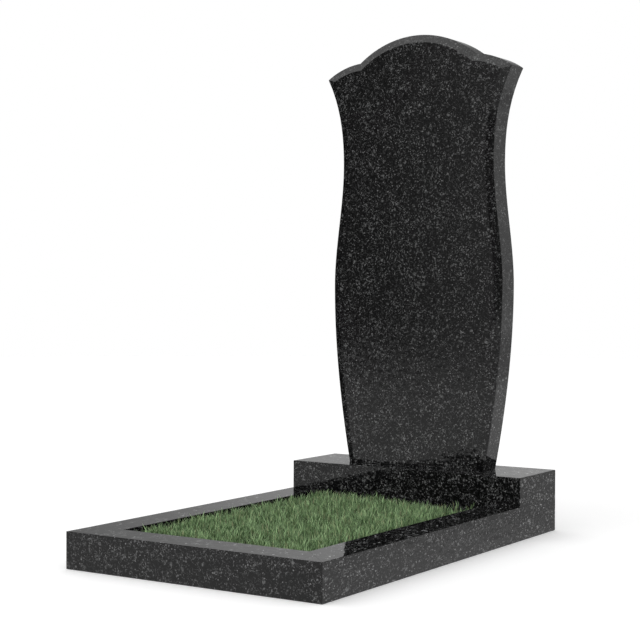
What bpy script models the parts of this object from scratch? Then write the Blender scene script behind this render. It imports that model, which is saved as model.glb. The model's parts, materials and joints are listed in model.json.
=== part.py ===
"""Headstone of polished speckled granite: a stele with curved sides stands on a plinth,
and three kerb bars run forward from the plinth round a bed of turf.

Metres, +Z up. X runs across the grave, and Y from its foot (-Y) to its head (+Y).
The origin lies on the ground, in the middle of the whole plan.
"""

from math import atan2, cos, hypot, pi, radians, sin, sqrt

import bmesh
import bpy
from mathutils import Vector

# Plan and bars, shared by all the pieces
WIDTH = 0.600
PLINTH_DEPTH = 0.186
PLINTH_HEIGHT = 0.139
KERB_REACH = 0.800  # from the plinth's front face to the foot end
KERB_WIDTH = 0.080
KERB_HEIGHT = 0.0745
JOINT_GAP = 0.0003  # between two stones that touch

# Stele: half widths are from its centre line
STELE_HEIGHT = 1.0026
STELE_THICKNESS = 0.067
STELE_SETBACK = 0.054  # from the plinth's front face to the stele's front face
CROWN_RISE = 0.0542  # from the two notches up to the top of the arch
NOTCH_HALF_WIDTH = 0.1536
SHOULDER_DROP = 0.0331  # from the notches down to the shoulders' points
SHOULDER_HALF_WIDTH = 0.2435
SHOULDER_RADIUS = 0.182
SHOULDER_SPREAD = 0.52  # sideways slope of the edge just below the shoulder's point
WAIST_DROP = 0.2095  # from the shoulders' points down to the waist
WAIST_HALF_WIDTH = 0.1993
BELLY_HEIGHT = 0.422  # above the foot
BELLY_HALF_WIDTH = 0.2235
FOOT_HALF_WIDTH = 0.179
FOOT_SPREAD = 0.19  # sideways slope of the edge at the foot
BEVEL_WIDTH = 0.0180  # of the flat bevel round the front, as seen from the front
BEVEL_DEPTH = 0.0081

# Turf: a mat that fills the kerb, a little higher in the middle than along the stones
TURF_EDGE_HEIGHT = 0.058
TURF_RISE = 0.009

# Colours and polish
GRANITE = (0.028, 0.029, 0.030)
GRASS = (0.09, 0.19, 0.07)
POLISHED = 0.1
MATT = 0.9

# Fineness of the round forms, and the least angle that is shaded as an edge
SIDE_STEPS = 40
SHOULDER_STEPS = 12
CROWN_STEPS = 36
TURF_STEPS_ACROSS = 10
TURF_STEPS_ALONG = 16
EDGE_ANGLE = radians(10)

# Places that follow from the sizes above
FOOT_END = -(KERB_REACH + PLINTH_DEPTH) / 2
PLINTH_FRONT = FOOT_END + KERB_REACH
STELE_FOOT = PLINTH_HEIGHT + JOINT_GAP
STELE_FRONT = PLINTH_FRONT + STELE_SETBACK
BAY_HALF_WIDTH = WIDTH / 2 - KERB_WIDTH
BAY_FRONT = FOOT_END + KERB_WIDTH
BAY_BACK = PLINTH_FRONT - JOINT_GAP

# Heights above the stele's foot
NOTCH_HEIGHT = STELE_HEIGHT - CROWN_RISE
SHOULDER_HEIGHT = NOTCH_HEIGHT - SHOULDER_DROP
WAIST_HEIGHT = SHOULDER_HEIGHT - WAIST_DROP
CROWN_RADIUS = (NOTCH_HALF_WIDTH**2 + CROWN_RISE**2) / (2 * CROWN_RISE)
CROWN_CENTRE = Vector((0, STELE_HEIGHT - CROWN_RADIUS))


def clear_scene():
    for item in list(bpy.data.objects):
        bpy.data.objects.remove(item, do_unlink=True)


def make_material(name, colour, roughness):
    material = bpy.data.materials.new(name)
    material.use_nodes = True
    shader = material.node_tree.nodes["Principled BSDF"]
    shader.inputs["Base Color"].default_value = (*colour, 1)
    shader.inputs["Roughness"].default_value = roughness
    shader.inputs["Metallic"].default_value = 0
    material.diffuse_color = (*colour, 1)
    return material


def place(name, shape, location, material):
    """Makes a named object from a bmesh whose own origin goes to the location."""
    bmesh.ops.recalc_face_normals(shape, faces=shape.faces)
    mesh = bpy.data.meshes.new(name)
    shape.to_mesh(mesh)
    shape.free()
    mesh.shade_smooth()
    mesh.set_sharp_from_angle(angle=EDGE_ANGLE)
    mesh.materials.append(material)
    piece = bpy.data.objects.new(name, mesh)
    piece.location = location
    bpy.context.scene.collection.objects.link(piece)
    return piece


def extrude_plan(plan, height):
    """A prism: the plan, a list of (x, y), drawn up by the height."""
    shape = bmesh.new()
    base = shape.faces.new([shape.verts.new((x, y, 0)) for x, y in plan])
    sides = bmesh.ops.extrude_face_region(shape, geom=[base])
    top = [item for item in sides["geom"] if isinstance(item, bmesh.types.BMVert)]
    bmesh.ops.translate(shape, verts=top, vec=(0, 0, height))
    return shape


def make_plinth(material):
    half = WIDTH / 2
    plan = [(-half, 0), (half, 0), (half, PLINTH_DEPTH), (-half, PLINTH_DEPTH)]
    return place("plinth", extrude_plan(plan, PLINTH_HEIGHT), (0, PLINTH_FRONT, 0), material)


def make_kerb_front(material):
    """The bar across the foot end, mitred at both corners."""
    half = WIDTH / 2 - JOINT_GAP / sqrt(2)
    inner = half - KERB_WIDTH
    plan = [(-half, 0), (half, 0), (inner, KERB_WIDTH), (-inner, KERB_WIDTH)]
    return place("kerb_front", extrude_plan(plan, KERB_HEIGHT), (0, FOOT_END, 0), material)


def make_kerb_side(name, side, material):
    """A bar along one side: mitred at the foot end, and square where it meets the plinth."""
    mitre = JOINT_GAP / sqrt(2)
    length = KERB_REACH - JOINT_GAP
    inner = -side * KERB_WIDTH
    plan = [(0, mitre), (0, length), (inner, length), (inner, mitre + KERB_WIDTH)]
    location = (side * WIDTH / 2, FOOT_END, 0)
    return place(name, extrude_plan(plan, KERB_HEIGHT), location, material)


def ease(start, end, start_slope, end_slope, height):
    """Half width and slope at a height on the smooth curve between two (height, half width)."""
    span = end[0] - start[0]
    t = (height - start[0]) / span
    drift = end[1] - start[1]
    bend_start = start_slope * span
    bend_end = end_slope * span
    cubic = bend_start + bend_end - 2 * drift
    square = 3 * drift - 2 * bend_start - bend_end
    value = start[1] + bend_start * t + square * t**2 + cubic * t**3
    slope = (bend_start + 2 * square * t + 3 * cubic * t**2) / span
    return value, slope


def side_edge(height):
    """Half width and sideways slope of the stele's edge at a height above its foot."""
    foot = (0, FOOT_HALF_WIDTH)
    belly = (BELLY_HEIGHT, BELLY_HALF_WIDTH)
    waist = (WAIST_HEIGHT, WAIST_HALF_WIDTH)
    shoulder = (SHOULDER_HEIGHT, SHOULDER_HALF_WIDTH)
    if height < BELLY_HEIGHT:
        return ease(foot, belly, FOOT_SPREAD, 0, height)
    if height < WAIST_HEIGHT:
        return ease(belly, waist, 0, 0, height)
    return ease(waist, shoulder, 0, SHOULDER_SPREAD, height)


def inset_side_point(height, inset):
    """The point that lies inside the side edge by the inset, square to the edge."""
    half_width, slope = side_edge(height)
    length = hypot(1, slope)
    return Vector((half_width - inset / length, height + inset * slope / length))


def find_height(low, high, too_high):
    """Halves the range until it holds the height where too_high turns true."""
    for _ in range(40):
        middle = (low + high) / 2
        if too_high(middle):
            high = middle
        else:
            low = middle
    return (low + high) / 2


def centre_of_arc(first, second, radius):
    """Centre of the arc through two points, on the left of the way from the first to the second."""
    chord = second - first
    leftwards = Vector((-chord.y, chord.x)).normalized()
    return (first + second) / 2 + leftwards * sqrt(radius**2 - (chord.length / 2) ** 2)


def upper_crossing(centre_a, radius_a, centre_b, radius_b):
    """The higher of the two points where two circles cross."""
    between = centre_b - centre_a
    along = (radius_a**2 - radius_b**2 + between.length_squared) / (2 * between.length)
    across = Vector((-between.y, between.x)).normalized() * sqrt(radius_a**2 - along**2)
    middle = centre_a + between.normalized() * along
    return max(middle + across, middle - across, key=lambda point: point.y)


def arc(centre, radius, start, end, steps):
    """Points along an arc from start to end, with both ends."""
    first = atan2(start.y - centre.y, start.x - centre.x)
    last = atan2(end.y - centre.y, end.x - centre.x)
    angles = [first + (last - first) * step / steps for step in range(steps + 1)]
    return [centre + Vector((cos(angle), sin(angle))) * radius for angle in angles]


def stele_outline(inset):
    """The outline seen from the front, drawn in by the inset on every edge but the foot.

    It always has the same number of points, so two outlines can be joined point to point.
    """
    shoulder = Vector((SHOULDER_HALF_WIDTH, SHOULDER_HEIGHT))
    notch = Vector((NOTCH_HALF_WIDTH, NOTCH_HEIGHT))
    shoulder_centre = centre_of_arc(shoulder, notch, SHOULDER_RADIUS)
    shoulder_radius = SHOULDER_RADIUS - inset
    crown_radius = CROWN_RADIUS - inset

    foot_height = find_height(
        -WAIST_HEIGHT, WAIST_HEIGHT, lambda height: inset_side_point(height, inset).y > 0
    )
    corner_height = find_height(
        WAIST_HEIGHT,
        STELE_HEIGHT,
        lambda height: (inset_side_point(height, inset) - shoulder_centre).length > shoulder_radius,
    )
    rise = (corner_height - foot_height) / SIDE_STEPS
    side = [inset_side_point(foot_height + rise * step, inset) for step in range(SIDE_STEPS + 1)]
    inner_notch = upper_crossing(CROWN_CENTRE, crown_radius, shoulder_centre, shoulder_radius)
    shoulder_arc = arc(shoulder_centre, shoulder_radius, side[-1], inner_notch, SHOULDER_STEPS)
    left_notch = Vector((-inner_notch.x, inner_notch.y))
    crown = arc(CROWN_CENTRE, crown_radius, inner_notch, left_notch, CROWN_STEPS)

    right = side + shoulder_arc[1:-1]
    left = [Vector((-point.x, point.y)) for point in reversed(right)]
    return right + crown + left


def ring_of_points(shape, outline, depth):
    return [shape.verts.new((point.x, depth, point.y)) for point in outline]


def bridge(shape, near, far):
    """Quads between two rings with the same number of points."""
    for index in range(len(near)):
        after = (index + 1) % len(near)
        shape.faces.new([near[index], near[after], far[after], far[index]])


def make_stele(material):
    """A slab with the curved outline and one wide, shallow bevel round its front face."""
    shape = bmesh.new()
    face_ring = ring_of_points(shape, stele_outline(BEVEL_WIDTH), 0)
    edge_ring = ring_of_points(shape, stele_outline(0), BEVEL_DEPTH)
    back_ring = ring_of_points(shape, stele_outline(0), STELE_THICKNESS)
    bridge(shape, face_ring, edge_ring)
    bridge(shape, edge_ring, back_ring)
    shape.faces.new(face_ring)
    shape.faces.new(back_ring[::-1])
    return place("stele", shape, (0, STELE_FRONT, STELE_FOOT), material)


def make_turf(material):
    """The mat of soil and grass inside the kerb, on the ground, with a gently domed top."""
    half = BAY_HALF_WIDTH - JOINT_GAP
    front = BAY_FRONT + JOINT_GAP
    length = BAY_BACK - front
    shape = bmesh.new()
    bmesh.ops.create_grid(shape, x_segments=TURF_STEPS_ACROSS, y_segments=TURF_STEPS_ALONG, size=1)
    for vertex in shape.verts:
        dome = cos(vertex.co.x * pi / 2) * cos(vertex.co.y * pi / 2)
        vertex.co.x *= half
        vertex.co.y = (vertex.co.y + 1) / 2 * length
        vertex.co.z = TURF_EDGE_HEIGHT + TURF_RISE * sqrt(max(dome, 0))
    rim = [edge for edge in shape.edges if edge.is_boundary]
    skirt = bmesh.ops.extrude_edge_only(shape, edges=rim)
    bottom = [item for item in skirt["geom"] if isinstance(item, bmesh.types.BMVert)]
    for vertex in bottom:
        vertex.co.z = 0
    bmesh.ops.holes_fill(shape, edges=[edge for edge in shape.edges if edge.is_boundary])
    return place("turf", shape, (0, front, 0), material)


def build():
    clear_scene()
    make_stele(make_material("stele_granite", GRANITE, POLISHED))
    make_plinth(make_material("plinth_granite", GRANITE, POLISHED))
    make_kerb_front(make_material("kerb_front_granite", GRANITE, POLISHED))
    make_kerb_side("kerb_left", -1, make_material("kerb_left_granite", GRANITE, POLISHED))
    make_kerb_side("kerb_right", 1, make_material("kerb_right_granite", GRANITE, POLISHED))
    make_turf(make_material("turf_grass", GRASS, MATT))


build()
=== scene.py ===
"""Looks of the headstone: polished speckled granite and a bed of short grass, in a pale studio."""

import json
from math import cos, pi, radians, sin

import bpy
import numpy as np
from mathutils import Matrix, Vector

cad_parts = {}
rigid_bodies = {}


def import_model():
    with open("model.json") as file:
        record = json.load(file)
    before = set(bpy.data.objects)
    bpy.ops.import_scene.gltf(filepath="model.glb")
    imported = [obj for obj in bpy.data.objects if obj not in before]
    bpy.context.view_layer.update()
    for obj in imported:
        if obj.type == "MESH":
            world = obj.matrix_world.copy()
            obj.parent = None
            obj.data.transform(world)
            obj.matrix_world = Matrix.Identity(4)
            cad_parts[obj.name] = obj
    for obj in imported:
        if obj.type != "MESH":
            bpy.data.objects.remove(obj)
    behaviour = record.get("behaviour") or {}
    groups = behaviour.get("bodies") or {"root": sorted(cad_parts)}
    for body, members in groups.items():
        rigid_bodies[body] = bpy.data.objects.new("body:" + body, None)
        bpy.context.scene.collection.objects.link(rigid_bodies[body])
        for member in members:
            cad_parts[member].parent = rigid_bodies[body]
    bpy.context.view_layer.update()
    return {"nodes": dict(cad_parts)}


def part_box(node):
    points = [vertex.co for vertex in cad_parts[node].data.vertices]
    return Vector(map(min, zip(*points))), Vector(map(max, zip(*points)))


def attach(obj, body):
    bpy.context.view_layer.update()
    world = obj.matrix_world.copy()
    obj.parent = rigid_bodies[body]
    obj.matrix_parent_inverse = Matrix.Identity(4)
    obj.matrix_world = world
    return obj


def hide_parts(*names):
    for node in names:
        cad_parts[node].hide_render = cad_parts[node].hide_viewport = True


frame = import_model()

MM = 0.001

# Arris: the narrow rounded edge left by the polishing pads
ARRIS = 0.7 * MM
ARRIS_STEPS = 2
ARRIS_ANGLE = radians(30)  # edges sharper than this are eased
FLAT_ANGLE = radians(0.05)
SMOOTH_ANGLE = radians(12)
MERGE_REACH = 0.01 * MM
JOINT_REACH = 1 * MM

# Granite: colours as linear red, green and blue, and scales in grains to the metre.
# Limits are the two values of a noise between which a grain fades in
GROUND_DARK = (0.0006, 0.0006, 0.0006)
GROUND_LIGHT = (0.0032, 0.0032, 0.0033)
DUST_SCALE = 330
DUST_LIMITS = (0.3, 0.7)

CROWD_SCALE = 40  # of the places where the grains crowd together
CROWD_LIMITS = (0.36, 0.66)

FLECK_COLOUR = (0.090, 0.091, 0.092)
FLECK_SCALE = 250
FLECK_LIMITS = (0.675, 0.79)
FLECK_CROWDING = 0.11  # how much a crowd adds to the noise that makes the flecks

BLOTCH_COLOUR = (0.075, 0.076, 0.076)
BLOTCHES = (80, 0.14, 0.42, 0.86)  # scale, core, edge and rarity
RAG_SCALE = 300  # of the noise that frays the blotches
RAG_LIMITS = (0.36, 0.56)

THREAD_COLOUR = (0.120, 0.121, 0.121)
FINE_THREADS = (230, 0.038, 0.51)  # scale, width and gap
LONG_THREADS = (150, 0.030, 0.56)
THREAD_CORE = 0.15  # share of a thread's width that has its full colour
CUT_SCALE = 0.9  # of the noise that cuts the threads into lengths, as a share of the threads' own scale
CUT_FADE = 0.07
TONE_SCALE = 160  # of the noise that makes some threads fainter
TONE_LIMITS = (0.35, 0.65)
FAINTEST_THREAD = 0.2
THREADS_OUTSIDE_CROWDS = 0.6

KERNEL_COLOUR = (0.130, 0.131, 0.131)
KERNELS = (250, 0.15, 0.45, 0.88)  # scale, core, edge and rarity
RARITY_FADE = 0.1

BEND_SCALE = 170  # of the noise that pushes the grains out of round
BEND_REACH = 6 * MM
POLISH = 0.04  # roughness of the polished face
GRANITE_IOR = 1.5

# Tops and sides are cut along the grain, so their flecks are longer, and stand out more on the tops
FACING_LIMITS = (0.6, 0.9)  # of a normal's share along an axis, from where a face counts as a top or side
NO_STRETCH = (1.0, 1.0, 1.0)
SIDE_STRETCH = (1.0, 0.6, 1.0)
TOP_STRETCH = (0.70, 0.42, 1.0)
TOP_CONTRAST = 1.9
TOP_BRIGHTNESS = 10
RELIEF_SCALE = 75
RELIEF = 0.25 * MM  # of the polish, so slight that only mirrored light at a flat angle shows it

# Each stone's place in the block, so that no two show the same grain,
# and how bright its grains are low down and high up
STONES = {
    "stele": ((0, 0, 0), 2.0, 1.22),
    "plinth": ((1.7, 0.4, 3.1), 2.15, 2.15),
    "kerb_front": ((4.3, 2.2, 0.9), 1.5, 1.5),
    "kerb_left": ((2.9, 5.1, 1.3), 1.5, 1.5),
    "kerb_right": ((6.1, 1.8, 2.4), 1.6, 1.6),
}
LOW = 0.24  # metres up, from where the brightness changes
HIGH = 0.48

# Soil
BED_SEED = 7  # of the soil's lumps and of the grass
SOIL_DROP = 14 * MM  # from the turf's top down to the bare soil
SOIL_COLUMNS = 88
SOIL_ROWS = 144
SOIL_LUMPS = 12
LUMP_HEIGHT = 0.9 * MM
LUMP_PITCH = 18  # of the widest lumps, in radians across the whole bed
LUMP_PITCH_STEP = 14
BED_LENGTH_TO_WIDTH = 1.6
SOIL_SMOOTH_ANGLE = radians(60)
SOIL_DARK = (0.010, 0.014, 0.006)
SOIL_LIGHT = (0.034, 0.050, 0.020)
CRUMB_SCALE = 260
CRUMB_LIMITS = (0.35, 0.7)
CRUMB_HEIGHT = 2 * MM
CRUMB_STRENGTH = 0.6
SOIL_ROUGHNESS = 0.95

# Grass
TUFT_KINDS = 6
TUFT_COUNT = 3300  # places tried, of which the thin and bare stretches lose some
BLADES_IN_TUFT = 9
TUFT_REACH = 6 * MM
ROOT_DEPTH = 16 * MM  # from the turf's top down to the roots
OVERHANG = 8 * MM  # how far a tip may reach over the kerb
STONE_CLEARANCE = 0.3 * MM

# Blade: its three lengths as shares of its height and of its lean, and the ranges it is drawn from
BLADE_WIDTH = 1.5 * MM
BLADE_HEIGHT = 26 * MM
LENGTH_SHARES = (0.35, 0.35, 0.30)
LEAN_SHARES = (0.10, 0.32, 0.58)
BLADE_TAPER = 0.75
HEIGHT_RANGE = (0.6, 1.1)
WIDTH_RANGE = (0.65, 1.15)
LEAN_RANGE = (0.1, 0.8)  # as a share of the blade's height
TWIST = 0.9  # largest turn, in radians, away from the tuft's middle

# Thin stretches of grass: where it starts to thicken, over what distance, and the least share of tufts
TUFT_MARGIN = 3 * MM
ALONG_LEFT = (3 * MM, 9 * MM, 0.12)
LEFT_FOOT_CORNER = (34 * MM, 40 * MM, 0.02)
RIGHT_HEAD_CORNER = (76 * MM, 36 * MM, 0.015)
HEAD_CORNER_SLANT = 0.3
RAGGED_FRONT = (0.75, 0.5, 0.3)  # middle, swing and least share of the tufts along the front
RAGGED_WAVES = (61, 1.3, 23)  # fine pitch, in radians to the metre, its phase in radians, and wide pitch
RAGGED_REACH = 25 * MM  # how far into the bed the front is ragged

# Tufts' sizes and dryness
TUFT_SIZES = (0.75, 1.2)
EDGE_SIZE = 0.75  # share of its size that a tuft has beside the left, right or rear stone
EDGE_REACH = 70 * MM  # sets how soon a tuft has its full size
FRONT_GROWTH = 0.2  # share that a tuft gains at the front kerb
FRONT_REACH = 20 * MM
DRY_REACH = 90 * MM  # of the drier grass in the right rear corner
OWN_TONE = 0.75  # share of a blade's tone that is its own, the rest being its tuft's
DRY_SHIFT = 0.5

# Leaf colours
LEAF_DARK = (0.030, 0.092, 0.024)
LEAF_PALE = (0.375, 0.575, 0.270)
LEAF_DRY = (0.46, 0.43, 0.25)
DRY_LIMITS = (0.90, 1.0)
# Painted light: the blades pale towards this colour at the tip, as if the tips caught more light
TIP_LIGHT_COLOUR = (0.46, 0.60, 0.34)
TIP_LIGHT_LIMITS = (0.7, 1.0)
TIP_LIGHT_STRENGTH = 0.4
# Painted shade: the blades darken towards the root, where the shade between them falls
ROOT_SHADE = (0.07, 0.07, 0.07)
SHADE_LIMITS = (0.0, 0.85)
NO_SHADE = (1, 1, 1)
LEAF_ROUGHNESS = 0.55
LEAF_SHINE = 0.3

# Floor and light
FLOOR_RADIUS = 9
FLOOR_CORNERS = 96
FLOOR_DROP = 0.5 * MM
FLOOR_COLOUR = 0.90
FLOOR_ROUGHNESS = 0.9
FLOOR_GLOW = 0.16  # makes the floor as white as the wall behind it
SOFTBOX_PLACE = (-1.45, -1.35, 3.20)
SOFTBOX_TARGET = (0, 0.37, 1.1)
SOFTBOX_WIDTH = 4.4
SOFTBOX_HEIGHT = 1.9
SOFTBOX_POWER = 25.5

# Brightness that the stone mirrors, by the turn in degrees from straight behind it, right-hand way round
MIRRORED_LEVELS = [
    (-180, 0.09), (-154, 0.34), (-147, 0.10), (-113, 0.02), (-92, 0.03), (-42, 0.29),
    (-32, 0.46), (-24, 0.50), (60, 0.48), (100, 0.25), (180, 0.09),
]

# What else it mirrors, and between which shares of the way looked it fades in
MIRRORED_FLOOR = 0.59
FLOOR_FADE = (-0.02, -0.085)  # upwards, as all of these but two
MIRRORED_FAR_FLOOR = 0.40  # on the right alone
FAR_FLOOR_FOOT = (-0.175, -0.145)
FAR_FLOOR_HEAD = (-0.06, -0.10)
FAR_FLOOR_SIDE = (0.10, 0.40)  # to the right
MIRRORED_FAR_LEFT = 0.03
FAR_LEFT_FADE = (-0.72, -0.88)  # to the right
MIRRORED_HEIGHTS = 0.20
HEIGHTS_FADE = (0.18, 0.36)
MIRRORED_CEILING = 0.60
CEILING_FADE = (0.60, 0.80)
MIRRORED_AGAIN = 0.35  # share of all this that a second mirroring leaves
SECOND_MIRROR = (1.2, 1.8)  # a step in the number of mirrors passed

# Camera and its lens, found from the photograph's straight edges
CAMERA_PLACE = (1.736, -2.719, 0.5575)
CAMERA_YAW = radians(32.95)
CAMERA_PITCH = radians(-1.26)
CAMERA_ROLL = radians(0.21)
CAMERA_LENS = 85.35
SENSOR_WIDTH = 36
FARTHEST_SEEN = 100


def select_only(piece):
    bpy.ops.object.select_all(action="DESELECT")
    piece.select_set(True)
    bpy.context.view_layer.objects.active = piece


def apply_modifiers(piece):
    select_only(piece)
    for modifier in list(piece.modifiers):
        bpy.ops.object.modifier_apply(modifier=modifier.name)


def join_pieces(pieces):
    """Joins copies into the first of them and clears away their left-over meshes."""
    spent = [piece.data for piece in pieces[1:]]
    select_only(pieces[0])
    for piece in pieces:
        piece.select_set(True)
    bpy.ops.object.join()
    bpy.ops.object.transform_apply(location=True, rotation=True, scale=True)
    bpy.data.batch_remove(spent)
    return pieces[0]


def grey(level):
    return (level,) * 3


def new_material(name):
    material = bpy.data.materials.new(name)
    material.use_nodes = True
    return material, material.node_tree, material.node_tree.nodes["Principled BSDF"]


def add_node(tree, kind, **values):
    node = tree.nodes.new(kind)
    for key, value in values.items():
        setattr(node, key, value)
    return node


def put(tree, socket, value):
    """Links another node's output to a socket, or sets a plain value on it."""
    if isinstance(value, bpy.types.NodeSocket):
        tree.links.new(value, socket)
    elif socket.type == "RGBA":
        socket.default_value = (*value, 1)
    else:
        socket.default_value = value


def noise(tree, place, scale, detail=2.0, roughness=0.5, output="Fac"):
    node = add_node(tree, "ShaderNodeTexNoise")
    node.inputs["Scale"].default_value = scale
    node.inputs["Detail"].default_value = detail
    node.inputs["Roughness"].default_value = roughness
    tree.links.new(place, node.inputs["Vector"])
    return node.outputs[output]


def calculate(tree, operation, first, second=0.0, third=0.0):
    node = add_node(tree, "ShaderNodeMath", operation=operation)
    for socket, value in zip(node.inputs, (first, second, third)):
        put(tree, socket, value)
    return node.outputs[0]


def step(tree, value, start, end):
    """Goes smoothly from 0 to 1 while the value goes from start to end, up or down."""
    node = add_node(tree, "ShaderNodeMapRange", interpolation_type="SMOOTHSTEP")
    tree.links.new(value, node.inputs["Value"])
    node.inputs["From Min"].default_value = start
    node.inputs["From Max"].default_value = end
    return node.outputs["Result"]


def mix(tree, factor, first, second, blend="MIX"):
    """Mixes two colours. The node repeats its sockets' names for each kind of data, so they go by number."""
    node = add_node(tree, "ShaderNodeMix", data_type="RGBA", blend_type=blend)
    for socket, value in zip((node.inputs[0], node.inputs[6], node.inputs[7]), (factor, first, second)):
        put(tree, socket, value)
    return node.outputs[2]


def facing_shares(tree, coordinates):
    """How far a face counts as a top and how far as a side, each from 0 to 1."""
    facing = add_node(tree, "ShaderNodeSeparateXYZ")
    tree.links.new(coordinates.outputs["Normal"], facing.inputs[0])
    upward = step(tree, facing.outputs["Z"], *FACING_LIMITS)
    sideways = step(tree, calculate(tree, "ABSOLUTE", facing.outputs["X"]), *FACING_LIMITS)
    return upward, sideways


def place_in_block(tree, coordinates, shift, upward, sideways):
    """A point's place in its block of granite, squeezed on tops and sides so that the grains draw out."""
    moved = add_node(tree, "ShaderNodeMapping")
    moved.inputs["Location"].default_value = shift
    tree.links.new(coordinates.outputs["Object"], moved.inputs["Vector"])
    stretch = mix(tree, upward, mix(tree, sideways, NO_STRETCH, SIDE_STRETCH), TOP_STRETCH)
    drawn_out = add_node(tree, "ShaderNodeVectorMath", operation="MULTIPLY")
    tree.links.new(moved.outputs["Vector"], drawn_out.inputs[0])
    tree.links.new(stretch, drawn_out.inputs[1])
    return drawn_out.outputs[0]


def bend_place(tree, place):
    """Pushes the places about by a noise, so that grains lose their round outlines."""
    centred = add_node(tree, "ShaderNodeVectorMath", operation="SUBTRACT")
    centred.inputs[1].default_value = grey(0.5)
    tree.links.new(noise(tree, place, BEND_SCALE, output="Color"), centred.inputs[0])
    bent = add_node(tree, "ShaderNodeVectorMath", operation="MULTIPLY_ADD")
    bent.inputs[1].default_value = grey(BEND_REACH)
    tree.links.new(centred.outputs[0], bent.inputs[0])
    tree.links.new(place, bent.inputs[2])
    return bent.outputs[0]


def dusty_ground(tree, place):
    """The near-black ground, with a dust of slightly paler grains."""
    dust = step(tree, noise(tree, place, DUST_SCALE, detail=1), *DUST_LIMITS)
    return mix(tree, dust, GROUND_DARK, GROUND_LIGHT)


def pale_flecks(tree, bent, crowding):
    """Irregular pale grains that crowd together in some places and leave others bare."""
    grains = noise(tree, bent, FLECK_SCALE, detail=3, roughness=0.6)
    return step(tree, calculate(tree, "MULTIPLY_ADD", crowding, FLECK_CROWDING, grains), *FLECK_LIMITS)


def single_grains(tree, place, scale, core, edge, rarity):
    """Separate grains, one to a cell: a higher rarity leaves fewer cells with a grain."""
    cells = add_node(tree, "ShaderNodeTexVoronoi", feature="F1")
    cells.inputs["Scale"].default_value = scale
    tree.links.new(place, cells.inputs["Vector"])
    chance = add_node(tree, "ShaderNodeSeparateColor")
    tree.links.new(cells.outputs["Color"], chance.inputs[0])
    grain = calculate(tree, "SUBTRACT", 1.0, step(tree, cells.outputs["Distance"], core, edge))
    return calculate(tree, "MULTIPLY", grain, step(tree, chance.outputs[0], rarity, rarity + RARITY_FADE))


def frayed_blotches(tree, place, bent):
    """A few wide grains with ragged edges."""
    ragged = step(tree, noise(tree, place, RAG_SCALE, detail=2), *RAG_LIMITS)
    return calculate(tree, "MULTIPLY", single_grains(tree, bent, *BLOTCHES), ragged)


def curled_threads(tree, bent, scale, width, gap):
    """Thin curled lines, cut into short lengths: a larger gap leaves fewer of them."""
    wave = noise(tree, bent, scale, detail=1)
    distance = calculate(tree, "ABSOLUTE", calculate(tree, "SUBTRACT", wave, 0.5))
    line = calculate(tree, "SUBTRACT", 1.0, step(tree, distance, width * THREAD_CORE, width))
    lengths = step(tree, noise(tree, bent, scale * CUT_SCALE, detail=0.5), gap, gap + CUT_FADE)
    return calculate(tree, "MULTIPLY", line, lengths)


def uneven_threads(tree, place, bent, crowding):
    """Fine and long threads, some fainter than others, and fewer of them outside the crowds."""
    fine = curled_threads(tree, bent, *FINE_THREADS)
    long = curled_threads(tree, bent, *LONG_THREADS)
    fewer = calculate(tree, "MULTIPLY_ADD", crowding, 1 - THREADS_OUTSIDE_CROWDS, THREADS_OUTSIDE_CROWDS)
    threads = calculate(tree, "MULTIPLY", calculate(tree, "MAXIMUM", fine, long), fewer)
    tone = step(tree, noise(tree, place, TONE_SCALE, detail=1), *TONE_LIMITS)
    strength = calculate(tree, "MULTIPLY_ADD", tone, 1 - FAINTEST_THREAD, FAINTEST_THREAD)
    return calculate(tree, "MULTIPLY", threads, strength)


def grain_colour(tree, place):
    """The ground, and over it the flecks, blotches, threads and kernels of feldspar, in that order."""
    bent = bend_place(tree, place)
    crowding = step(tree, noise(tree, place, CROWD_SCALE), *CROWD_LIMITS)
    with_flecks = mix(tree, pale_flecks(tree, bent, crowding), dusty_ground(tree, place), FLECK_COLOUR)
    with_blotches = mix(tree, frayed_blotches(tree, place, bent), with_flecks, BLOTCH_COLOUR)
    with_threads = mix(tree, uneven_threads(tree, place, bent, crowding), with_blotches, THREAD_COLOUR)
    return mix(tree, single_grains(tree, bent, *KERNELS), with_threads, KERNEL_COLOUR)


def brighten_by_height(tree, coordinates, colour, low_brightness, high_brightness):
    height = add_node(tree, "ShaderNodeSeparateXYZ")
    tree.links.new(coordinates.outputs["Object"], height.inputs[0])
    high = step(tree, height.outputs["Z"], LOW, HIGH)
    brightness = mix(tree, high, grey(low_brightness), grey(high_brightness))
    return mix(tree, 1.0, colour, brightness, "MULTIPLY")


def deepen_tops(tree, upward, grain):
    """Gives the grain more contrast on the tops, where it is seen at a flat angle."""
    deeper = add_node(tree, "ShaderNodeGamma")
    deeper.inputs["Gamma"].default_value = TOP_CONTRAST
    tree.links.new(grain, deeper.inputs["Color"])
    on_top = mix(tree, 1.0, deeper.outputs[0], grey(TOP_BRIGHTNESS), "MULTIPLY")
    return mix(tree, upward, grain, on_top)


def granite(name, shift, low_brightness, high_brightness):
    """Polished near-black granite: a dark ground, pale flecks and short curled threads of feldspar."""
    material, tree, shader = new_material(name)
    coordinates = add_node(tree, "ShaderNodeTexCoord")
    upward, sideways = facing_shares(tree, coordinates)
    place = place_in_block(tree, coordinates, shift, upward, sideways)
    grain = brighten_by_height(tree, coordinates, grain_colour(tree, place), low_brightness, high_brightness)
    tree.links.new(deepen_tops(tree, upward, grain), shader.inputs["Base Color"])

    relief = add_node(tree, "ShaderNodeBump")
    relief.inputs["Strength"].default_value = 1
    relief.inputs["Distance"].default_value = RELIEF
    tree.links.new(noise(tree, place, RELIEF_SCALE, detail=1), relief.inputs["Height"])
    tree.links.new(relief.outputs["Normal"], shader.inputs["Normal"])

    shader.inputs["Roughness"].default_value = POLISH
    shader.inputs["IOR"].default_value = GRANITE_IOR
    shader.inputs["Metallic"].default_value = 0
    return material


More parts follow.
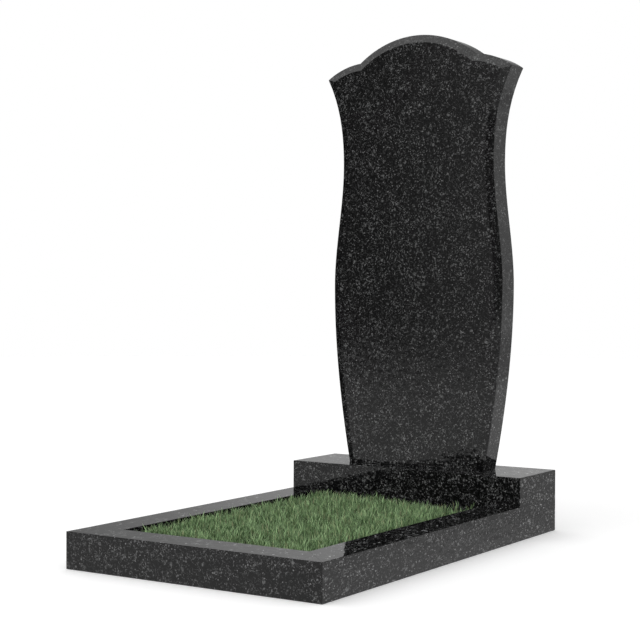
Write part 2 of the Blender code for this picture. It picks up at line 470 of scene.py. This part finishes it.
def is_in_joint(mesh, face, boxes):
    """True for a face that lies against another stone."""
    corners = [mesh.vertices[index].co for index in face.vertices]
    for low, high in boxes:
        inside = [
            low[axis] - JOINT_REACH < corner[axis] < high[axis] + JOINT_REACH
            for corner in corners
            for axis in range(3)
        ]
        if all(inside):
            return True
    return False


def choose_arrises(mesh, node):
    """Marks the sharp edges to ease. The sawn edges in a joint stay sharp, so that the joint closes."""
    boxes = [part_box(other) for other in STONES if other != node]
    sides = {}
    for face in mesh.polygons:
        for key in face.edge_keys:
            sides.setdefault(key, []).append(face)
    weights = mesh.attributes.new("bevel_weight_edge", "FLOAT", "EDGE")
    for edge in mesh.edges:
        first, second = sides[edge.key]
        is_sharp = first.normal.angle(second.normal) > ARRIS_ANGLE
        is_joint = is_in_joint(mesh, first, boxes) or is_in_joint(mesh, second, boxes)
        weights.data[edge.index].value = 1.0 if is_sharp and not is_joint else 0.0


def copy_of_node(node):
    """A copy of a node's solid with a mesh of its own, as whole faces instead of loose triangles."""
    source = frame["nodes"][node]
    piece = source.copy()
    piece.data = source.data.copy()
    piece.name = node + "_polished"
    piece.parent = None
    for key in list(piece.keys()):
        if key.startswith("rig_"):
            del piece[key]
    bpy.context.scene.collection.objects.link(piece)
    select_only(piece)
    bpy.ops.mesh.customdata_custom_splitnormals_clear()
    bpy.ops.object.mode_set(mode="EDIT")
    bpy.ops.mesh.select_all(action="SELECT")
    bpy.ops.mesh.remove_doubles(threshold=MERGE_REACH)
    bpy.ops.mesh.dissolve_limited(angle_limit=FLAT_ANGLE)
    bpy.ops.object.mode_set(mode="OBJECT")
    return piece


def polished_stone(node, shift, low_brightness, high_brightness):
    """The stone of one node with its arrises eased, as one closed piece."""
    piece = copy_of_node(node)
    choose_arrises(piece.data, node)
    arris = piece.modifiers.new("arris", "BEVEL")
    arris.width = ARRIS
    arris.segments = ARRIS_STEPS
    arris.limit_method = "WEIGHT"
    apply_modifiers(piece)
    bpy.ops.object.shade_smooth_by_angle(angle=SMOOTH_ANGLE)
    piece.data.materials.clear()
    piece.data.materials.append(granite("granite_" + node, shift, low_brightness, high_brightness))
    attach(piece, "root")
    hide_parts(node)


def soil_material():
    material, tree, shader = new_material("soil")
    place = add_node(tree, "ShaderNodeTexCoord").outputs["Object"]
    crumbs = noise(tree, place, CRUMB_SCALE, detail=4)
    colour = mix(tree, step(tree, crumbs, *CRUMB_LIMITS), SOIL_DARK, SOIL_LIGHT)
    tree.links.new(colour, shader.inputs["Base Color"])
    bump = add_node(tree, "ShaderNodeBump")
    bump.inputs["Strength"].default_value = CRUMB_STRENGTH
    bump.inputs["Distance"].default_value = CRUMB_HEIGHT
    tree.links.new(crumbs, bump.inputs["Height"])
    tree.links.new(bump.outputs["Normal"], shader.inputs["Normal"])
    shader.inputs["Roughness"].default_value = SOIL_ROUGHNESS
    return material


def grass_material():
    """Green blades with painted shade that darkens them towards the root and painted light that pales them
    at the tip, each with a tone of its own.
    """
    material, tree, shader = new_material("grass")
    tone = add_node(tree, "ShaderNodeAttribute", attribute_name="tone")
    parts = add_node(tree, "ShaderNodeSeparateColor")
    tree.links.new(tone.outputs["Color"], parts.inputs[0])
    own, along, dryness = parts.outputs
    green = mix(tree, step(tree, own, 0.0, 1.0), LEAF_DARK, LEAF_PALE)
    with_dry = mix(tree, step(tree, dryness, *DRY_LIMITS), green, LEAF_DRY)
    # Painted light pales the tips, and painted shade darkens the blades towards the roots
    tip_light = calculate(tree, "MULTIPLY", step(tree, along, *TIP_LIGHT_LIMITS), TIP_LIGHT_STRENGTH)
    with_tip_light = mix(tree, tip_light, with_dry, TIP_LIGHT_COLOUR)
    shade = mix(tree, step(tree, along, *SHADE_LIMITS), ROOT_SHADE, NO_SHADE)
    tree.links.new(mix(tree, 1.0, with_tip_light, shade, "MULTIPLY"), shader.inputs["Base Color"])
    shader.inputs["Roughness"].default_value = LEAF_ROUGHNESS
    shader.inputs["Specular IOR Level"].default_value = LEAF_SHINE
    return material


def lump_height(x, y, lumps):
    """Height of the soil's lumps, where x and y go from -0.5 to 0.5 over the bed."""
    height = 0.0
    for index, (angle, phase, other) in enumerate(lumps):
        pitch = LUMP_PITCH + LUMP_PITCH_STEP * index
        way = cos(angle) * x + sin(angle) * y * BED_LENGTH_TO_WIDTH
        height += LUMP_HEIGHT * sin(pitch * way + phase) * cos(other)
    return height


def make_soil():
    """Crumbly soil from stone to stone, on which the grass stands."""
    low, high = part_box("turf")
    bpy.ops.object.select_all(action="DESELECT")
    bpy.ops.mesh.primitive_grid_add(x_subdivisions=SOIL_COLUMNS, y_subdivisions=SOIL_ROWS, size=1)
    piece = bpy.context.object
    piece.name = "soil"
    width, length = high[0] - low[0], high[1] - low[1]
    middle = (low[1] + high[1]) / 2
    lumps = np.random.default_rng(BED_SEED).uniform(0, 2 * pi, (SOIL_LUMPS, 3))
    for vertex in piece.data.vertices:
        x, y = vertex.co.x, vertex.co.y
        height = high[2] - SOIL_DROP + lump_height(x, y, lumps)
        vertex.co = (x * width, middle + y * length, height)
    select_only(piece)
    bpy.ops.object.mode_set(mode="EDIT")
    bpy.ops.mesh.select_all(action="SELECT")
    bpy.ops.mesh.extrude_region_move()
    bpy.ops.object.mode_set(mode="OBJECT")
    for vertex in piece.data.vertices:
        if vertex.select:
            vertex.co.z = low[2]
    bpy.ops.object.mode_set(mode="EDIT")
    bpy.ops.mesh.select_all(action="SELECT")
    bpy.ops.mesh.normals_make_consistent(inside=False)
    bpy.ops.object.mode_set(mode="OBJECT")
    bpy.ops.object.shade_smooth_by_angle(angle=SOIL_SMOOTH_ANGLE)
    piece.data.materials.append(soil_material())
    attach(piece, "root")
    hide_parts("turf")


def draw_up(height, lean, length):
    """Draws the selected end of a blade up and over by one of its lengths."""
    way = (0, lean * LEAN_SHARES[length], height * LENGTH_SHARES[length])
    bpy.ops.mesh.extrude_region_move(TRANSFORM_OT_translate={"value": way})


def make_blade(width, height, lean, own, dryness):
    """One blade, rooted at the origin: drawn up in three lengths to a point, and bent more by each."""
    bpy.ops.object.select_all(action="DESELECT")
    bpy.ops.mesh.primitive_plane_add(size=1)
    blade = bpy.context.object
    first_lean, first_length = lean * LEAN_SHARES[0], height * LENGTH_SHARES[0]
    for corner in blade.data.vertices:
        is_upper = corner.co.y > 0
        corner.co = (corner.co.x * width, first_lean * is_upper, first_length * is_upper)
    bpy.ops.object.mode_set(mode="EDIT")
    bpy.ops.mesh.select_mode(type="VERT")
    bpy.ops.mesh.select_all(action="DESELECT")
    bpy.ops.object.mode_set(mode="OBJECT")
    for corner in blade.data.vertices:
        corner.select = corner.co.z > 0
    bpy.ops.object.mode_set(mode="EDIT")
    draw_up(height, lean, 1)
    bpy.ops.transform.resize(value=(BLADE_TAPER, 1, 1))
    draw_up(height, lean, 2)
    bpy.ops.mesh.merge(type="CENTER")
    bpy.ops.object.mode_set(mode="OBJECT")
    tone = blade.data.attributes.new("tone", "FLOAT_COLOR", "POINT")
    for corner, shade in zip(blade.data.vertices, tone.data):
        shade.color = (own, corner.co.z / height, dryness, 1)
    return blade


def make_tuft(rng):
    """A few blades that lean away from their middle."""
    blades = []
    for _ in range(BLADES_IN_TUFT):
        height = BLADE_HEIGHT * rng.uniform(*HEIGHT_RANGE)
        width = BLADE_WIDTH * rng.uniform(*WIDTH_RANGE)
        lean = height * rng.uniform(*LEAN_RANGE)
        own, dryness = rng.uniform(0, 1), rng.uniform(0, 1)
        blade = make_blade(width, height, lean, own, dryness)
        way = rng.uniform(0, 2 * pi)
        reach = TUFT_REACH * rng.uniform(0, 1)
        blade.location = (reach * cos(way), reach * sin(way), 0)
        blade.rotation_euler = (0, 0, way - pi / 2 + rng.uniform(-TWIST, TWIST))
        blades.append(blade)
    return join_pieces(blades)


def thicken(distance, start, reach, least):
    """Share of the tufts that stay: the least one up to the start, and all of them a reach further on."""
    return np.clip((distance - start) / reach, least, 1)


def choose_tuft_places(rng, low, high):
    """Places for the tufts: close together, thinner along the stones, and nearly bare in two corners."""
    x = rng.uniform(low[0] + TUFT_MARGIN, high[0] - TUFT_MARGIN, TUFT_COUNT)
    y = rng.uniform(low[1] + TUFT_MARGIN, high[1] - TUFT_MARGIN, TUFT_COUNT)
    left, right, front, back = x - low[0], high[0] - x, y - low[1], high[1] - y
    chance = thicken(left, *ALONG_LEFT)
    chance *= thicken(left + front, *LEFT_FOOT_CORNER)
    chance *= thicken(back + right * HEAD_CORNER_SLANT, *RIGHT_HEAD_CORNER)
    middle, swing, least = RAGGED_FRONT
    fine, phase, wide = RAGGED_WAVES
    waves = swing * np.sin(x * fine + phase) * np.sin(x * wide)
    chance *= np.clip(middle + waves + front / RAGGED_REACH, least, 1)
    keep = rng.uniform(0, 1, TUFT_COUNT) < chance
    edge = np.minimum(np.minimum(left, right), back)
    size = rng.uniform(*TUFT_SIZES, TUFT_COUNT) * np.clip(EDGE_SIZE + edge / EDGE_REACH, EDGE_SIZE, 1)
    size *= 1 + FRONT_GROWTH * np.clip(1 - front / FRONT_REACH, 0, 1)
    dryness = np.clip(1 - (right + back) / DRY_REACH, 0, 1)
    return zip(x[keep], y[keep], size[keep], dryness[keep])


def tone_tuft(rng, tuft, dryness):
    """Gives all the blades of a tuft some tone in common."""
    tone = tuft.data.attributes["tone"].data
    shades = np.empty(len(tone) * 4, np.float32)
    tone.foreach_get("color", shades)
    shades[0::4] = shades[0::4] * OWN_TONE + rng.uniform(0, 1 - OWN_TONE)
    shades[2::4] = shades[2::4] + DRY_SHIFT * dryness
    tone.foreach_set("color", shades)


def keep_in_bed(mesh, low, high):
    """Below the kerb's top a blade stays in the bed, and above it a tip may hang over."""
    places = np.empty(len(mesh.vertices) * 3, np.float32)
    mesh.vertices.foreach_get("co", places)
    places = places.reshape(-1, 3)
    kerb_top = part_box("kerb_front")[1][2]
    overhang = np.where(places[:, 2] > kerb_top, OVERHANG, -STONE_CLEARANCE)
    places[:, 0] = np.clip(places[:, 0], low[0] - overhang, high[0] + overhang)
    places[:, 1] = np.clip(places[:, 1], low[1] - overhang, high[1] - STONE_CLEARANCE)
    mesh.vertices.foreach_set("co", places.ravel())


def make_grass():
    """Short grass: a few tufts modelled once, then copied all over the bed and joined."""
    low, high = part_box("turf")
    rng = np.random.default_rng(BED_SEED)
    kinds = [make_tuft(rng) for _ in range(TUFT_KINDS)]
    tufts = []
    for x, y, size, dryness in choose_tuft_places(rng, low, high):
        kind = kinds[rng.integers(TUFT_KINDS)]
        tuft = kind.copy()
        tuft.data = kind.data.copy()
        tuft.location = (x, y, high[2] - ROOT_DEPTH)
        tuft.rotation_euler = (0, 0, rng.uniform(0, 2 * pi))
        tuft.scale = (size, size, size)
        bpy.context.scene.collection.objects.link(tuft)
        tone_tuft(rng, tuft, dryness)
        tufts.append(tuft)
    for kind in kinds:
        bpy.data.meshes.remove(kind.data)
    piece = join_pieces(tufts)
    piece.name = "grass"
    keep_in_bed(piece.data, low, high)
    piece.data.materials.append(grass_material())
    select_only(piece)
    bpy.ops.object.shade_smooth()
    piece.visible_glossy = False
    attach(piece, "root")


def make_floor():
    """A wide white floor. The stone mirrors the studio's own lower half in its place."""
    bpy.ops.object.select_all(action="DESELECT")
    bpy.ops.mesh.primitive_circle_add(
        vertices=FLOOR_CORNERS, radius=FLOOR_RADIUS, fill_type="NGON", location=(0, 0, -FLOOR_DROP)
    )
    floor = bpy.context.object
    floor.name = "floor"
    floor.visible_glossy = False
    material, _, shader = new_material("floor_paper")
    shader.inputs["Base Color"].default_value = (*grey(FLOOR_COLOUR), 1)
    shader.inputs["Roughness"].default_value = FLOOR_ROUGHNESS
    shader.inputs["Emission Color"].default_value = (*grey(1), 1)
    shader.inputs["Emission Strength"].default_value = FLOOR_GLOW
    floor.data.materials.append(material)


def make_softbox():
    data = bpy.data.lights.new("softbox", "AREA")
    data.shape = "RECTANGLE"
    data.size = SOFTBOX_WIDTH
    data.size_y = SOFTBOX_HEIGHT
    data.energy = SOFTBOX_POWER
    softbox = bpy.data.objects.new("softbox", data)
    bpy.context.scene.collection.objects.link(softbox)
    softbox.location = SOFTBOX_PLACE
    aim = Vector(SOFTBOX_TARGET) - Vector(SOFTBOX_PLACE)
    softbox.rotation_euler = aim.to_track_quat("-Z", "Y").to_euler()


def studio_all_round(tree, right, ahead):
    """The studio's brightness by the turn from straight behind the stone."""
    # The turn is a share of a full one, from 0 to 1
    turn = calculate(tree, "MULTIPLY_ADD", calculate(tree, "ARCTAN2", right, ahead), 0.5 / pi, 0.5)
    around = add_node(tree, "ShaderNodeValToRGB")
    around.color_ramp.interpolation = "EASE"
    stops = around.color_ramp.elements
    while len(stops) < len(MIRRORED_LEVELS):
        stops.new(0.5)
    for stop, (degrees, level) in zip(stops, MIRRORED_LEVELS):
        stop.position = 0.5 + degrees / 360
        stop.color = (*grey(level), 1)
    tree.links.new(turn, around.inputs["Fac"])
    return around.outputs["Color"]


def mirrored_studio(tree, right, ahead, up):
    """The grey studio that the stone mirrors, with its floor, far left, heights and ceiling."""
    around = studio_all_round(tree, right, ahead)
    with_floor = mix(tree, step(tree, up, *FLOOR_FADE), around, grey(MIRRORED_FLOOR))
    strip = calculate(tree, "MULTIPLY", step(tree, up, *FAR_FLOOR_FOOT), step(tree, up, *FAR_FLOOR_HEAD))
    on_right = calculate(tree, "MULTIPLY", strip, step(tree, right, *FAR_FLOOR_SIDE))
    with_strip = mix(tree, on_right, with_floor, grey(MIRRORED_FAR_FLOOR))
    with_left = mix(tree, step(tree, right, *FAR_LEFT_FADE), with_strip, grey(MIRRORED_FAR_LEFT))
    with_heights = mix(tree, step(tree, up, *HEIGHTS_FADE), with_left, grey(MIRRORED_HEIGHTS))
    return mix(tree, step(tree, up, *CEILING_FADE), with_heights, grey(MIRRORED_CEILING))


def make_world():
    """Even white light all round. The polished stone mirrors a greyer studio, with a dark front."""
    world = bpy.data.worlds.new("studio")
    bpy.context.scene.world = world
    world.use_nodes = True
    tree = world.node_tree
    way = add_node(tree, "ShaderNodeSeparateXYZ")
    tree.links.new(add_node(tree, "ShaderNodeTexCoord").outputs["Generated"], way.inputs[0])
    mirrored = mirrored_studio(tree, *way.outputs)
    path = add_node(tree, "ShaderNodeLightPath")
    second = step(tree, path.outputs["Glossy Depth"], *SECOND_MIRROR)
    left_over = mix(tree, second, grey(1), grey(MIRRORED_AGAIN))
    dimmed = mix(tree, 1.0, mirrored, left_over, "MULTIPLY")
    seen = mix(tree, path.outputs["Is Glossy Ray"], grey(1), dimmed)
    tree.links.new(seen, tree.nodes["Background"].inputs["Color"])


def make_camera():
    data = bpy.data.cameras.new("camera")
    data.lens = CAMERA_LENS
    data.sensor_width = SENSOR_WIDTH
    data.clip_end = FARTHEST_SEEN
    camera = bpy.data.objects.new("camera", data)
    bpy.context.scene.collection.objects.link(camera)
    turn = Matrix.Rotation(CAMERA_YAW, 4, "Z") @ Matrix.Rotation(pi / 2 + CAMERA_PITCH, 4, "X")
    camera.matrix_world = Matrix.Translation(CAMERA_PLACE) @ turn @ Matrix.Rotation(CAMERA_ROLL, 4, "Z")
    bpy.context.scene.camera = camera


make_camera()
make_world()
make_floor()
make_softbox()
bpy.context.scene.view_settings.view_transform = "Standard"

for node, looks in STONES.items():
    polished_stone(node, *looks)
make_soil()
make_grass()
